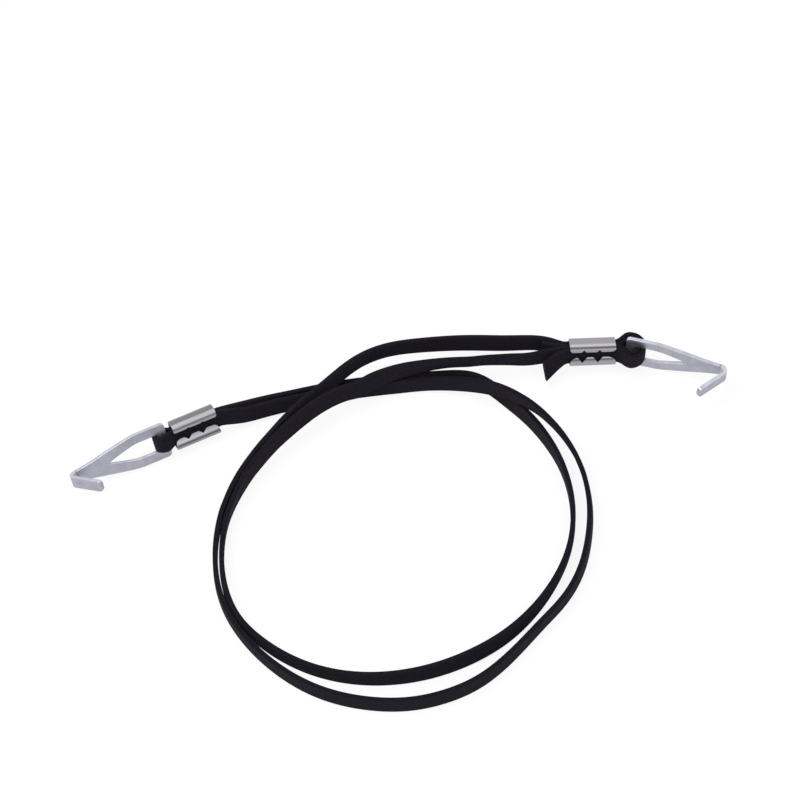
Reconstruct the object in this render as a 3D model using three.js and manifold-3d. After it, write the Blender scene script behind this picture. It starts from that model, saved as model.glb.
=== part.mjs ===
// Elastic tie-down strap: two runs of flat woven elastic between two stamped steel hooks, laid in one loop.
// Millimetres, +Z up, lying on the plane z = 0.
import * as THREE from "three";
import { mergeVertices } from "three/addons/utils/BufferGeometryUtils.js";
import Module from "manifold-3d";

const wasm = await Module();
wasm.setup();

// Flat elastic strap: a woven cover round a ribbon of rubber
const strapWidth = 8.5;
const strapThickness = 2.5;
const strapEdgeChamfer = 0.35;
const coverWall = 0.3;
const coreClearance = 0.5;
const rightCrimpedThickness = 1.8; // strap thickness where four layers are squeezed in the right ferrule
const leftCrimpedThickness = 2.2; // and where two are, in the left one
const layerGap = 0.3; // between layers of strap, and between strap ends that meet
const looseLayerGap = 0.5; // between the two layers in the left ferrule
const leadLength = 3; // straight run out of each ferrule
const tailLeadLength = 1.5; // the same, of the cut tails
const facetsPerStation = 1.5;
const ringSpacing = 1; // between the rings of points on which the gaps are measured

// How much of each run belongs to the legs that stretch when the hooks are pulled apart
const rightLegLength = 74;
const leftLegLength = 34;

// Stamped hook: a flat plate with a triangular eye, drawn to a tongue that is bent back
const hookLength = 51.8; // rear edge to the outside of the bend
const hookHalfWidth = 9.5;
const hookThickness = 2;
const barWidth = 4.5; // the rear bar that the strap goes round
const eyeHalfWidth = 4.6;
const eyeCornerRadius = 0.8;
const rearCornerRadius = 2;
const tongueWidth = 6;
const tongueLength = 16.4; // its straight part
const tongueTipRadius = 1.8;
const tongueAngle = 53; // degrees between tongue and plate
const bendRadius = 2.8; // to the middle of the sheet
const outlineSteps = 3; // facets for each point of a curved outline
const bendSteps = 8;
const seamOverlap = 0.2; // how far two solids run into each other before they are joined

// Crimped ferrules: sheet steel rolled round the strap, its two lips on the near face
const ferruleLength = 23;
const sheetThickness = 0.9;
const rightFerruleClearance = 0.3; // round the strap
const leftFerruleClearance = 0.65;
const cornerSteps = 4;
const notchPitch = 7.8;
const rightFerruleWidth = 11.4; // along the strap's width
const rightCornerRadius = 2;
const rightRoll = -15; // of the ferrule against the hook's bar
const rightSetback = 7.7; // from the bar's centre to the ferrule's mouth
const rightSeamGap = 3.6; // between the two lips
const rightSeamHeight = 1.6; // of the gap's centre, above the middle of the near face
const rightNotchShift = -1.1; // of the notches from the ferrule's middle, towards the hook
const rightUpperNotchWidth = 2.6;
const rightUpperNotchDepth = 1.2;
const rightLowerNotchWidth = 4.5;
const rightLowerNotchDepth = 2.9;
const leftFerruleWidth = 15;
const leftCornerRadius = 2.6;
const leftSetback = 5.2;
const leftSeamGap = 4.2;
const leftSeamHeight = 1.1;
const leftNotchShift = 0.7;
const leftUpperNotchWidth = 2.4;
const leftUpperNotchDepth = 0.6;
const leftLowerNotchWidth = 4.5;
const leftLowerNotchDepth = 2.1;

// Strap eyes: how the layers swell round the bar
const eyeThickness = 2.3; // of the strap drawn tight round a bar
const barClearance = 0.7; // to the sides of the bar
const barEndClearance = 0.35; // at the turn
const nestedGap = 0.8; // between the inner and the outer eye on the right bar
const nestedEndGap = 0.35;
const outerSwell = 7.7; // distance from the bar at which the outer eye begins to open
const innerSwell = 6.4;
const swellPoints = 6;
const eyeArcPoints = 9;
const ferruleShares = [0, 0.42, 0.72, 0.88, 0.955]; // of the way from the rear mouth to where the layers part

// Where the two ends lie: the middle of each ferrule's rear mouth, the way the ferrule points from there and
// how the strap leans
const rightRearMouth = [84.83, 22.06, 9.8];
const rightHeading = 2.5;
const rightLean = -5;
const rightHookSwing = -18; // of the hook about its bar, away from the ferrule's axis
const leftRearMouth = [-90.97, -16.47, 9.4];
const leftHeading = 206.5;
const leftLean = 28;
const leftHookSwing = 0;

// Moves the layout so that the part's origin is under the middle of its box
const originShift = [-1.13, 69.52, -0.05];

// Routes of the two runs, from the right ferrule to the left one: x, y, z of the strap's middle, then the
// angle in degrees by which its upper edge leans to the left of the way it runs
const outerRunRoute = [
  [76.6, 26.5, 8.87, -19], [70.6, 27.8, 9.44, -16], [63, 28.3, 9.13, -18], [51.5, 27.9, 9.22, -24],
  [39, 28, 9.46, -25], [25, 27.5, 9.81, -20], [10, 25.8, 10.44, -14], [-3.1, 23.3, 11.35, -11],
  [-15.1, 18.2, 12.65, -10], [-25.9, 10.2, 13.65, -11], [-36.3, -0.8, 13.96, -17], [-47.8, -12, 13.6, -22],
  [-56.7, -21.6, 12.42, -23], [-61.8, -27.6, 11.21, -20], [-66.7, -33.2, 10.17, -17],
  [-71.7, -39.7, 8.81, -14], [-76.3, -46.1, 7.2, -11], [-79.7, -51.8, 6.14, -7], [-82.7, -57.8, 5.22, -3],
  [-84.8, -63.6, 4.74, 0], [-86.7, -69.4, 4.48, 3], [-88.6, -82.7, 4.4, 4], [-88.3, -97.3, 4.39, 2],
  [-85.8, -111, 4.35, 0], [-80.6, -124, 4.37, -1], [-71.9, -136.8, 4.35, 0], [-60.4, -148.5, 4.4, 3],
  [-46.1, -158.7, 4.42, 6], [-30.1, -165.6, 4.45, 9], [-12.5, -169, 4.44, 11], [5.2, -169, 4.46, 12],
  [22.6, -164.6, 4.45, 12], [38.8, -156.4, 4.45, 11], [53.8, -142.6, 4.44, 8], [66.8, -127.5, 4.41, 4],
  [78.1, -114.6, 4.41, 4], [86.6, -98.7, 4.43, 8], [90.9, -81, 4.45, 8], [92.3, -63.2, 4.44, 8],
  [90.3, -47.6, 4.64, 11], [88.3, -41.1, 5.3, 15], [85.9, -34.8, 6.26, 18], [79, -24.3, 9.4, 17],
  [70.5, -16.1, 12.52, 13], [66.5, -12.9, 13.31, 10], [62.4, -9.8, 13.63, 6], [54.8, -5.2, 13.91, 2],
  [50.5, -3.1, 13.36, -5], [45.8, -1, 12.56, -11], [36.4, 2.6, 9.88, -13], [24, 5.5, 6.86, -14],
  [11.5, 6.4, 5.14, -14], [-1, 5.2, 4.59, -15], [-13.6, 3.8, 4.42, -16], [-26.9, 1.6, 4.43, -16],
  [-40.3, -1.1, 4.55, -16], [-53.1, -4.6, 4.76, -19], [-65.7, -8.6, 5.76, -22], [-76.8, -13.2, 7.31, -25],
];
const innerRunRoute = [
  [76.5, 20.3, 10.13, -16], [72, 19.7, 9.72, -10], [66.7, 18.7, 9.32, -5], [61.3, 18.1, 9.38, -2],
  [55, 17.9, 9.74, 2], [48.2, 17.4, 10.12, 7], [41.4, 16.7, 10.71, 10], [34.8, 15.4, 11.4, 9],
  [28.6, 14.4, 12.61, 10], [22.3, 13.3, 13.49, 8], [15.8, 12.2, 13.72, 3], [9.4, 10.8, 13.83, -4],
  [3, 9.3, 13.88, -11], [-3.6, 7.2, 13.85, -17], [-10.1, 4.5, 13.77, -23], [-16.1, 1.3, 13.62, -28],
  [-21.6, -2.7, 13.23, -32], [-27.4, -4.6, 14.07, -31], [-40.2, -12, 14.16, -30],
  [-52.3, -22.7, 13.12, -27], [-58.1, -28.4, 12.12, -22], [-63.7, -34.3, 10.92, -17],
  [-72.8, -46.1, 8.45, -12], [-76.4, -52.4, 7.01, -8], [-79.6, -58.8, 5.72, -3], [-84.1, -71.9, 4.72, 4],
  [-85.6, -87.3, 4.4, 4], [-84.6, -102.1, 4.39, 1], [-80.7, -116.4, 4.34, -1], [-73.8, -128.5, 4.37, -1],
  [-62.5, -139.2, 4.35, 0], [-48.5, -148, 4.37, 1], [-31.9, -154, 4.4, 4], [-13.5, -156.2, 4.45, 9],
  [4.4, -154.6, 4.45, 15], [20.6, -150.2, 4.43, 19], [36, -143.2, 4.43, 20], [50.5, -133.6, 4.45, 16],
  [63.1, -120.9, 4.45, 8], [73.1, -106.3, 4.38, 2], [80.2, -90.5, 4.37, 0], [83.5, -74.5, 4.37, 2],
  [83.4, -58.4, 4.41, 4], [79.9, -42.4, 4.36, 3], [73.7, -28.3, 4.4, -4], [64.6, -14.5, 4.44, -11],
  [54.5, -4.1, 4.44, -14], [45.3, 4.5, 4.45, -16], [35, 10.1, 4.47, -16], [22.3, 10.4, 4.44, -14],
  [9.6, 9.4, 4.46, -14], [-3.2, 8.2, 4.45, -15], [-15.9, 6.7, 4.44, -16], [-28.8, 4.6, 4.47, -16],
  [-41.8, 1.8, 4.47, -16], [-54.3, -1.6, 4.63, -19], [-66.5, -5.4, 5.76, -22], [-77.5, -9.8, 7.41, -25],
];
// The cut tails beyond the right ferrule: the outer run's is bent towards the viewer, the inner run's is a stub
const outerTailRoute = [
  [80.8, 18.2, 10.6, -23], [78.9, 17.1, 10.1, -28], [77.1, 15.9, 9.5, -33], [75.4, 14.6, 8.8, -38],
  [73.8, 13.3, 8.1, -43], [72.3, 12, 7.5, -47],
];
const innerTailRoute = [[79, 23.1, 9.5, -20], [75, 23.6, 9.8, -17], [70.5, 24.7, 10.2, -14]];

const coverMaterial = new THREE.MeshStandardMaterial({ color: 0x1b1821, roughness: 0.85, metalness: 0 });
const coreMaterial = new THREE.MeshStandardMaterial({ color: 0x2a2622, roughness: 0.6, metalness: 0 });
const hookMaterial = new THREE.MeshStandardMaterial({ color: 0xaab0bd, roughness: 0.35, metalness: 1 });
const ferruleMaterial = new THREE.MeshStandardMaterial({ color: 0xb9b9be, roughness: 0.25, metalness: 1 });

const assembly = new THREE.Group();
assembly.position.fromArray(originShift);

function addMesh(parent, name, geometry, material) {
  const mesh = new THREE.Mesh(geometry, material.clone());
  mesh.name = name;
  parent.add(mesh);
  return mesh;
}

// Booleans
function toSolid(geometry) {
  const bare = geometry.clone();
  bare.deleteAttribute("normal");
  bare.deleteAttribute("uv");
  const merged = mergeVertices(bare);
  return new wasm.Manifold(
    new wasm.Mesh({
      numProp: 3,
      vertProperties: Float32Array.from(merged.attributes.position.array),
      triVerts: Uint32Array.from(merged.index.array),
    }),
  );
}

function toGeometry(solid) {
  const mesh = solid.getMesh();
  const geometry = new THREE.BufferGeometry();
  geometry.setAttribute("position", new THREE.BufferAttribute(Float32Array.from(mesh.vertProperties), 3));
  geometry.setIndex(new THREE.BufferAttribute(Uint32Array.from(mesh.triVerts), 1));
  return geometry;
}

// A strap's centre line: a smooth curve through its stations, each with its point, the way the strap's width
// points there and how much of its full thickness is left. It runs straight at each end, square to its neighbour
function throughPoints(points) {
  return points.map((point, i) => {
    if (i < 2 || i > points.length - 3) return point.clone();
    const sag = points[i - 1].clone().add(points[i + 1]).addScaledVector(point, -2);
    return point.clone().addScaledVector(sag, -1 / 6);
  });
}

function blend(points, t) {
  const last = points.length - 1;
  const at = (i) => {
    if (i < 0) return points[0].clone().multiplyScalar(2).sub(points[1]);
    if (i > last) return points[last].clone().multiplyScalar(2).sub(points[last - 1]);
    return points[i];
  };
  const i = Math.min(Math.floor(t * last), last - 1);
  const f = t * last - i;
  const weights = [
    (1 - f) ** 3 / 6,
    (3 * f ** 3 - 6 * f ** 2 + 4) / 6,
    (-3 * f ** 3 + 3 * f ** 2 + 3 * f + 1) / 6,
    f ** 3 / 6,
  ];
  const sum = new THREE.Vector3();
  weights.forEach((weight, k) => sum.addScaledVector(at(i + k - 1), weight));
  return sum;
}

class StrapLine extends THREE.Curve {
  constructor(stations) {
    super();
    this.points = throughPoints(stations.map((station) => station.point));
    this.widths = stations.map((station) => station.width);
    this.squeezes = stations.map((station) => new THREE.Vector3(station.squeeze, 0, 0));
    this.arcLengthDivisions = stations.length * 10;
  }
  getPoint(t) {
    return blend(this.points, t);
  }
}

// One stretch of a centre line, from one length along it to another
class StrapStretch extends THREE.Curve {
  constructor(line, start, end) {
    super();
    this.line = line;
    this.from = line.getUtoTmapping(start / line.getLength());
    this.to = line.getUtoTmapping(end / line.getLength());
    this.steps = Math.ceil((this.to - this.from) * (line.points.length - 1) * facetsPerStation);
  }
  toLine(u) {
    return this.from + (this.to - this.from) * u;
  }
  getPointAt(u) {
    return this.line.getPoint(this.toLine(u));
  }
  computeFrenetFrames(steps) {
    const frames = { tangents: [], normals: [], binormals: [] };
    for (let i = 0; i <= steps; i++) {
      const t = this.toLine(i / steps);
      const tangent = this.line.getTangent(t);
      const width = blend(this.line.widths, t);
      width.addScaledVector(tangent, -width.dot(tangent)).normalize();
      frames.tangents.push(tangent);
      frames.binormals.push(width);
      frames.normals.push(width.clone().cross(tangent).multiplyScalar(blend(this.line.squeezes, t).x));
    }
    return frames;
  }
}

function rectangle(x, y) {
  return [[x, -y], [x, y], [-x, y], [-x, -y]].map((corner) => new THREE.Vector2(...corner));
}

const halfThickness = strapThickness / 2;
const halfWidth = strapWidth / 2;
const bevelX = halfThickness - strapEdgeChamfer;
const bevelY = halfWidth - strapEdgeChamfer;
const coverSection = new THREE.Shape(
  [
    [halfThickness, -bevelY], [halfThickness, bevelY], [bevelX, halfWidth], [-bevelX, halfWidth],
    [-halfThickness, bevelY], [-halfThickness, -bevelY], [-bevelX, -halfWidth], [bevelX, -halfWidth],
  ].map((corner) => new THREE.Vector2(...corner)),
);
coverSection.holes.push(new THREE.Path(rectangle(halfThickness - coverWall, halfWidth - coverWall)));
// Shares of half the thickness and of half the width
const ringShares = [-1, 1].flatMap((across) => [-1, -0.5, 0, 0.5, 1].map((along) => [across, along]));
const coreInset = coverWall + coreClearance;
const coreSection = new THREE.Shape(rectangle(halfThickness - coreInset, halfWidth - coreInset));

function addStrap(name, line, start, end) {
  const extrudePath = new StrapStretch(line, start, end);
  const sweep = { steps: extrudePath.steps, extrudePath };
  addMesh(assembly, `${name}_cover`, new THREE.ExtrudeGeometry(coverSection, sweep), coverMaterial);
  addMesh(assembly, `${name}_core`, new THREE.ExtrudeGeometry(coreSection, sweep), coreMaterial);
}

// An end of the strap: a frame at the bar's centre, with X along the ferrule to the hook and Z along the bar
function makeEnd(rearMouth, heading, lean, setback) {
  const end = new THREE.Group();
  end.position.fromArray(rearMouth);
  end.rotation.set(THREE.MathUtils.degToRad(lean), 0, THREE.MathUtils.degToRad(heading), "ZYX");
  end.translateX(setback + ferruleLength);
  end.updateMatrix();
  assembly.add(end);
  return end;
}

function endStation(end, x, y, squeeze = 1, roll = 0) {
  const turn = THREE.MathUtils.degToRad(roll);
  return {
    point: new THREE.Vector3(x, y * Math.cos(turn), y * Math.sin(turn)).applyMatrix4(end.matrix),
    width: new THREE.Vector3(0, -Math.sin(turn), Math.cos(turn)).transformDirection(end.matrix),
    squeeze,
  };
}

function routeStations(route) {
  const points = route.map(([x, y, z]) => new THREE.Vector3(x, y, z));
  return route.map((row, i) => {
    const ahead = points[Math.min(i + 1, points.length - 1)];
    const behind = points[Math.max(i - 1, 0)];
    const along = ahead.clone().sub(behind).normalize();
    const left = new THREE.Vector3(0, 0, 1).cross(along).normalize();
    const up = along.clone().cross(left);
    const lean = THREE.MathUtils.degToRad(row[3]);
    const width = up.multiplyScalar(Math.cos(lean)).addScaledVector(left, Math.sin(lean));
    return { point: points[i], width, squeeze: 1 };
  });
}

// The way into the eye, inside the ferrule and swelling out to the ring round the bar, on one side
function eyeApproach(end, { setback, swell, pitch, radius, squeeze, roll, side }) {
  const stations = [];
  const rear = setback + ferruleLength;
  for (const share of ferruleShares) {
    stations.push(endStation(end, -rear + (rear - swell) * share, side * pitch, squeeze, roll));
  }
  for (let i = 0; i < swellPoints; i++) {
    const f = i / swellPoints;
    const rise = 3 * f ** 2 - 2 * f ** 3;
    const y = pitch + (radius - pitch) * rise;
    const left = 1 - rise;
    const thinned = tightness - (tightness - squeeze) * left;
    stations.push(endStation(end, -swell * (1 - f), side * y, thinned, roll * left));
  }
  return stations;
}

function eyeStations(end, eye) {
  const arc = [];
  for (let i = 0; i <= eyeArcPoints; i++) {
    const turn = Math.PI * (i / eyeArcPoints);
    arc.push(endStation(end, eye.reach * Math.sin(turn), eye.side * eye.radius * Math.cos(turn), tightness));
  }
  const back = eyeApproach(end, { ...eye, side: -eye.side }).reverse();
  return [...eyeApproach(end, eye), ...arc, ...back];
}

// A run's first or last stations, square to the ferrule's rear mouth
function leadStations(end, { setback, pitch, squeeze, roll, side }) {
  const mouth = -setback - ferruleLength - layerGap;
  return [mouth, mouth - leadLength].map((x) => endStation(end, x, side * pitch, squeeze, roll));
}

// Hooks
function mirrored(points) {
  return points.map(([x, y]) => [x, -y]).reverse();
}

const bendStart = hookLength - bendRadius - hookThickness / 2;
// Shares of the plate's length and of its half width, rear to bend
const flankShares = [[0.3, 1], [0.38, 0.94], [0.54, 0.76], [0.78, 0.46]];
// Shares of the plate's length and of the eye's half width, rear to apex
const eyeShares = [[0.3, 0.98], [0.4, 0.76], [0.5, 0.44], [0.59, 0.12]];
const eyeApexShare = 0.615;

function hookPlate() {
  const flank = flankShares.map(([along, across]) => [along * hookLength, across * hookHalfWidth]);
  flank.push([bendStart, tongueWidth / 2]);
  const plate = new THREE.Shape();
  const vectors = (points) => points.map((point) => new THREE.Vector2(...point));
  plate.moveTo(0, rearCornerRadius - hookHalfWidth);
  plate.quadraticCurveTo(0, -hookHalfWidth, rearCornerRadius, -hookHalfWidth);
  plate.lineTo(flank[0][0], -flank[0][1]);
  plate.splineThru(vectors(mirrored(flank).reverse().slice(1)));
  plate.lineTo(bendStart + seamOverlap, -tongueWidth / 2);
  plate.lineTo(bendStart + seamOverlap, tongueWidth / 2);
  plate.lineTo(bendStart, tongueWidth / 2);
  plate.splineThru(vectors([...flank].reverse().slice(1)));
  plate.lineTo(rearCornerRadius, hookHalfWidth);
  plate.quadraticCurveTo(0, hookHalfWidth, 0, hookHalfWidth - rearCornerRadius);
  plate.closePath();

  const side = eyeShares.map(([along, across]) => [along * hookLength, across * eyeHalfWidth]);
  const apex = [eyeApexShare * hookLength, 0];
  const eye = new THREE.Path();
  eye.moveTo(barWidth, eyeHalfWidth - eyeCornerRadius);
  eye.quadraticCurveTo(barWidth, eyeHalfWidth, barWidth + eyeCornerRadius, eyeHalfWidth);
  eye.splineThru(vectors([...side, apex, ...mirrored(side)]));
  eye.lineTo(barWidth + eyeCornerRadius, -eyeHalfWidth);
  eye.quadraticCurveTo(barWidth, -eyeHalfWidth, barWidth, eyeCornerRadius - eyeHalfWidth);
  eye.closePath();
  plate.holes.push(eye);

  const geometry = new THREE.ExtrudeGeometry(plate, {
    depth: hookThickness,
    bevelEnabled: false,
    curveSegments: outlineSteps,
  });
  geometry.translate(0, 0, -hookThickness / 2);
  geometry.rotateX(Math.PI / 2); // the outline's width stands along Z, the sheet is in X and Z
  return geometry;
}

// The bend and the tongue behind it, on the side y < 0
function hookBend() {
  const turn = Math.PI - THREE.MathUtils.degToRad(tongueAngle);
  const inner = bendRadius - hookThickness / 2;
  const outer = bendRadius + hookThickness / 2;
  const arc = new THREE.Shape();
  arc.moveTo(bendStart, hookThickness / 2);
  arc.absarc(bendStart, -bendRadius, outer, Math.PI / 2, Math.PI / 2 - turn, true);
  arc.absarc(bendStart, -bendRadius, inner, Math.PI / 2 - turn, Math.PI / 2, false);
  arc.closePath();
  const bend = new THREE.ExtrudeGeometry(arc, {
    depth: tongueWidth,
    bevelEnabled: false,
    curveSegments: bendSteps,
  });
  bend.translate(0, 0, -tongueWidth / 2);

  const half = tongueWidth / 2;
  const tip = new THREE.Shape();
  tip.moveTo(-seamOverlap, -half);
  tip.lineTo(tongueLength - tongueTipRadius, -half);
  tip.quadraticCurveTo(tongueLength, -half, tongueLength, tongueTipRadius - half);
  tip.lineTo(tongueLength, half - tongueTipRadius);
  tip.quadraticCurveTo(tongueLength, half, tongueLength - tongueTipRadius, half);
  tip.lineTo(-seamOverlap, half);
  tip.closePath();
  const tongue = new THREE.ExtrudeGeometry(tip, {
    depth: hookThickness,
    bevelEnabled: false,
    curveSegments: outlineSteps,
  });
  tongue.translate(0, 0, -hookThickness / 2);
  tongue.rotateX(Math.PI / 2);
  tongue.rotateZ(-turn);
  tongue.translate(bendStart + bendRadius * Math.sin(turn), -bendRadius + bendRadius * Math.cos(turn), 0);
  return toSolid(bend).add(toSolid(tongue));
}

const hookGeometry = toGeometry(toSolid(hookPlate()).add(hookBend()));
hookGeometry.translate(-barWidth / 2, 0, 0); // the bar's centre is the hook's origin

function addHook(end, name, swing, overturned) {
  const hook = addMesh(end, name, hookGeometry.clone(), hookMaterial);
  hook.rotation.set(overturned ? Math.PI : 0, 0, THREE.MathUtils.degToRad(swing), "ZYX");
}

// Ferrules: the section of the rolled sheet, drawn from the lower lip round the far side to the upper lip
function rolledSheet({ width, depth, cornerRadius, seamHeight, seamGap }, inset) {
  const x = width / 2 - inset;
  const y = depth / 2 - inset;
  const radius = cornerRadius - inset;
  const corners = [
    [radius - x, radius - y, -Math.PI / 2], [radius - x, y - radius, Math.PI],
    [x - radius, y - radius, Math.PI / 2], [x - radius, radius - y, 0],
  ];
  const points = [new THREE.Vector2(seamHeight - seamGap / 2, -y)];
  for (const [cx, cy, from] of corners) {
    for (let i = 0; i <= cornerSteps; i++) {
      const angle = from - (Math.PI / 2) * (i / cornerSteps);
      points.push(new THREE.Vector2(cx + radius * Math.cos(angle), cy + radius * Math.sin(angle)));
    }
  }
  points.push(new THREE.Vector2(seamHeight + seamGap / 2, -y));
  return points;
}

function notchCutter(x, lipHeight, width, depth, faceY) {
  const vee = new THREE.Shape();
  const away = Math.sign(depth);
  vee.moveTo(x - width / 2, lipHeight - away * seamOverlap);
  vee.lineTo(x, lipHeight + depth);
  vee.lineTo(x + width / 2, lipHeight - away * seamOverlap);
  vee.closePath();
  const cutter = new THREE.ExtrudeGeometry(vee, { depth: 2 * sheetThickness, bevelEnabled: false });
  cutter.rotateX(Math.PI / 2);
  cutter.translate(0, faceY + 1.5 * sheetThickness, 0);
  return toSolid(cutter);
}

// The near face, with the seam, is on the side y < 0
function ferruleGeometry(size) {
  const { depth, setback, seamHeight, seamGap, notchShift, upperNotch, lowerNotch } = size;
  const outside = rolledSheet(size, 0);
  const inside = rolledSheet(size, sheetThickness);
  const section = new THREE.Shape([...outside, ...inside.reverse()]);
  const sheet = new THREE.ExtrudeGeometry(section, { depth: ferruleLength, bevelEnabled: false });
  // The section's first axis stands along Z, its second along Y, and the sheet runs back along -X
  sheet.applyMatrix4(
    new THREE.Matrix4().makeBasis(
      new THREE.Vector3(0, 0, 1), new THREE.Vector3(0, 1, 0), new THREE.Vector3(-1, 0, 0),
    ),
  );
  sheet.translate(-setback, 0, 0);
  let solid = toSolid(sheet);
  const middle = -setback - ferruleLength / 2 + notchShift;
  const lowerLip = seamHeight - seamGap / 2;
  const upperLip = seamHeight + seamGap / 2;
  for (const x of [middle - notchPitch / 2, middle + notchPitch / 2]) {
    solid = solid.subtract(notchCutter(x, lowerLip, lowerNotch.width, -lowerNotch.depth, -depth / 2));
    solid = solid.subtract(notchCutter(x, upperLip, upperNotch.width, upperNotch.depth, -depth / 2));
  }
  return toGeometry(solid);
}

// Sizes that follow from the strap and the bar
const barHalfDiagonal = Math.hypot(barWidth, hookThickness) / 2;
const tightness = eyeThickness / strapThickness;
const innerRadius = barHalfDiagonal + barClearance + eyeThickness / 2;
const outerRadius = innerRadius + eyeThickness + nestedGap;
const innerReach = barHalfDiagonal + barEndClearance + eyeThickness / 2;
const outerReach = innerReach + eyeThickness + nestedEndGap;
const innerPitch = (rightCrimpedThickness + layerGap) / 2;
const outerPitch = innerPitch + rightCrimpedThickness + layerGap;
const leftPitch = (leftCrimpedThickness + looseLayerGap) / 2;
const rightLayers = 2 * outerPitch + rightCrimpedThickness;
const leftLayers = 2 * leftPitch + leftCrimpedThickness;
const rightFerruleDepth = rightLayers + 2 * (sheetThickness + rightFerruleClearance);
const leftFerruleDepth = leftLayers + 2 * (sheetThickness + leftFerruleClearance);

const outerEye = {
  setback: rightSetback,
  swell: outerSwell,
  pitch: outerPitch,
  radius: outerRadius,
  reach: outerReach,
  squeeze: rightCrimpedThickness / strapThickness,
  roll: rightRoll,
  side: 1,
};
const innerEye = {
  ...outerEye,
  swell: innerSwell,
  pitch: innerPitch,
  radius: innerRadius,
  reach: innerReach,
  side: -1,
};
const foldEye = {
  setback: leftSetback,
  swell: leftSetback,
  pitch: leftPitch,
  radius: innerRadius,
  reach: innerReach,
  squeeze: leftCrimpedThickness / strapThickness,
  roll: 0,
  side: 1,
};

const rightEnd = makeEnd(rightRearMouth, rightHeading, rightLean, rightSetback);
const leftEnd = makeEnd(leftRearMouth, leftHeading, leftLean, leftSetback);

addHook(rightEnd, "right_hook", rightHookSwing, false);
addHook(leftEnd, "left_hook", leftHookSwing, true);

const rightFerrule = ferruleGeometry({
  width: rightFerruleWidth,
  depth: rightFerruleDepth,
  cornerRadius: rightCornerRadius,
  setback: rightSetback,
  seamHeight: rightSeamHeight,
  seamGap: rightSeamGap,
  notchShift: rightNotchShift,
  upperNotch: { width: rightUpperNotchWidth, depth: rightUpperNotchDepth },
  lowerNotch: { width: rightLowerNotchWidth, depth: rightLowerNotchDepth },
});
addMesh(rightEnd, "right_ferrule", rightFerrule, ferruleMaterial).rotateX(THREE.MathUtils.degToRad(rightRoll));
// Turned over, because the left end's near side is the other one
const leftFerrule = ferruleGeometry({
  width: leftFerruleWidth,
  depth: leftFerruleDepth,
  cornerRadius: leftCornerRadius,
  setback: leftSetback,
  seamHeight: -leftSeamHeight,
  seamGap: leftSeamGap,
  notchShift: leftNotchShift,
  upperNotch: { width: leftLowerNotchWidth, depth: leftLowerNotchDepth },
  lowerNotch: { width: leftUpperNotchWidth, depth: leftUpperNotchDepth },
});
addMesh(leftEnd, "left_ferrule", leftFerrule, ferruleMaterial).rotateX(Math.PI);

// The two runs, each in three stretches: a right leg, the loop and a left leg
function addRun(name, route, rightEye, leftSide) {
  const line = new StrapLine([
    ...leadStations(rightEnd, rightEye),
    ...routeStations(route),
    ...leadStations(leftEnd, { ...foldEye, side: leftSide }).reverse(),
  ]);
  const length = line.getLength();
  const loopEnd = length - leftLegLength;
  addStrap(`${name}_right_leg`, line, 0, rightLegLength - layerGap);
  addStrap(`${name}_loop`, line, rightLegLength, loopEnd);
  addStrap(`${name}_left_leg`, line, loopEnd + layerGap, length);
  console.log(`${name}: ${length.toFixed(1)} mm between the ferrules`);
  return line;
}

const outerRun = addRun("outer_run", outerRunRoute, outerEye, foldEye.side);
const innerRun = addRun("inner_run", innerRunRoute, innerEye, -foldEye.side);

function addRightEye(name, eye, tailRoute) {
  const x = -eye.setback - ferruleLength - tailLeadLength;
  const tailLead = endStation(rightEnd, x, -eye.side * eye.pitch, eye.squeeze, eye.roll);
  const line = new StrapLine([...eyeStations(rightEnd, eye), tailLead, ...routeStations(tailRoute)]);
  addStrap(name, line, 0, line.getLength());
}

addRightEye("outer_run_right_eye", outerEye, outerTailRoute);
addRightEye("inner_run_right_eye", innerEye, innerTailRoute);

const foldLine = new StrapLine(eyeStations(leftEnd, foldEye));
addStrap("left_eye", foldLine, 0, foldLine.getLength());

// The least gap between strands where they pass, on rings of points round the strap
function strapRings(line) {
  const whole = new StrapStretch(line, 0, line.getLength());
  const count = Math.round(line.getLength() / ringSpacing);
  const { normals, binormals } = whole.computeFrenetFrames(count);
  return normals.map((normal, i) => {
    const centre = whole.getPointAt(i / count);
    const points = ringShares.map(([across, along]) =>
      centre
        .clone()
        .addScaledVector(normal, across * halfThickness)
        .addScaledVector(binormals[i], along * halfWidth),
    );
    return { centre, points };
  });
}

function leastGap(rings, others) {
  let least = Infinity;
  rings.forEach((ring, i) => {
    others.forEach((other, j) => {
      if (rings === others && Math.abs(i - j) * ringSpacing < 4 * strapWidth) return;
      if (ring.centre.distanceTo(other.centre) > 2 * strapWidth) return;
      for (const point of ring.points) {
        for (const otherPoint of other.points) least = Math.min(least, point.distanceTo(otherPoint));
      }
    });
  });
  return least;
}

const outerRings = strapRings(outerRun);
const innerRings = strapRings(innerRun);
console.log(`outer run to itself: ${leastGap(outerRings, outerRings).toFixed(2)} mm`);
console.log(`inner run to itself: ${leastGap(innerRings, innerRings).toFixed(2)} mm`);
console.log(`outer run to inner run: ${leastGap(outerRings, innerRings).toFixed(2)} mm`);

export default assembly;
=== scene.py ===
from bisect import bisect_right
from math import ceil, cos, floor, hypot, pi, radians, sin, sqrt

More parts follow.
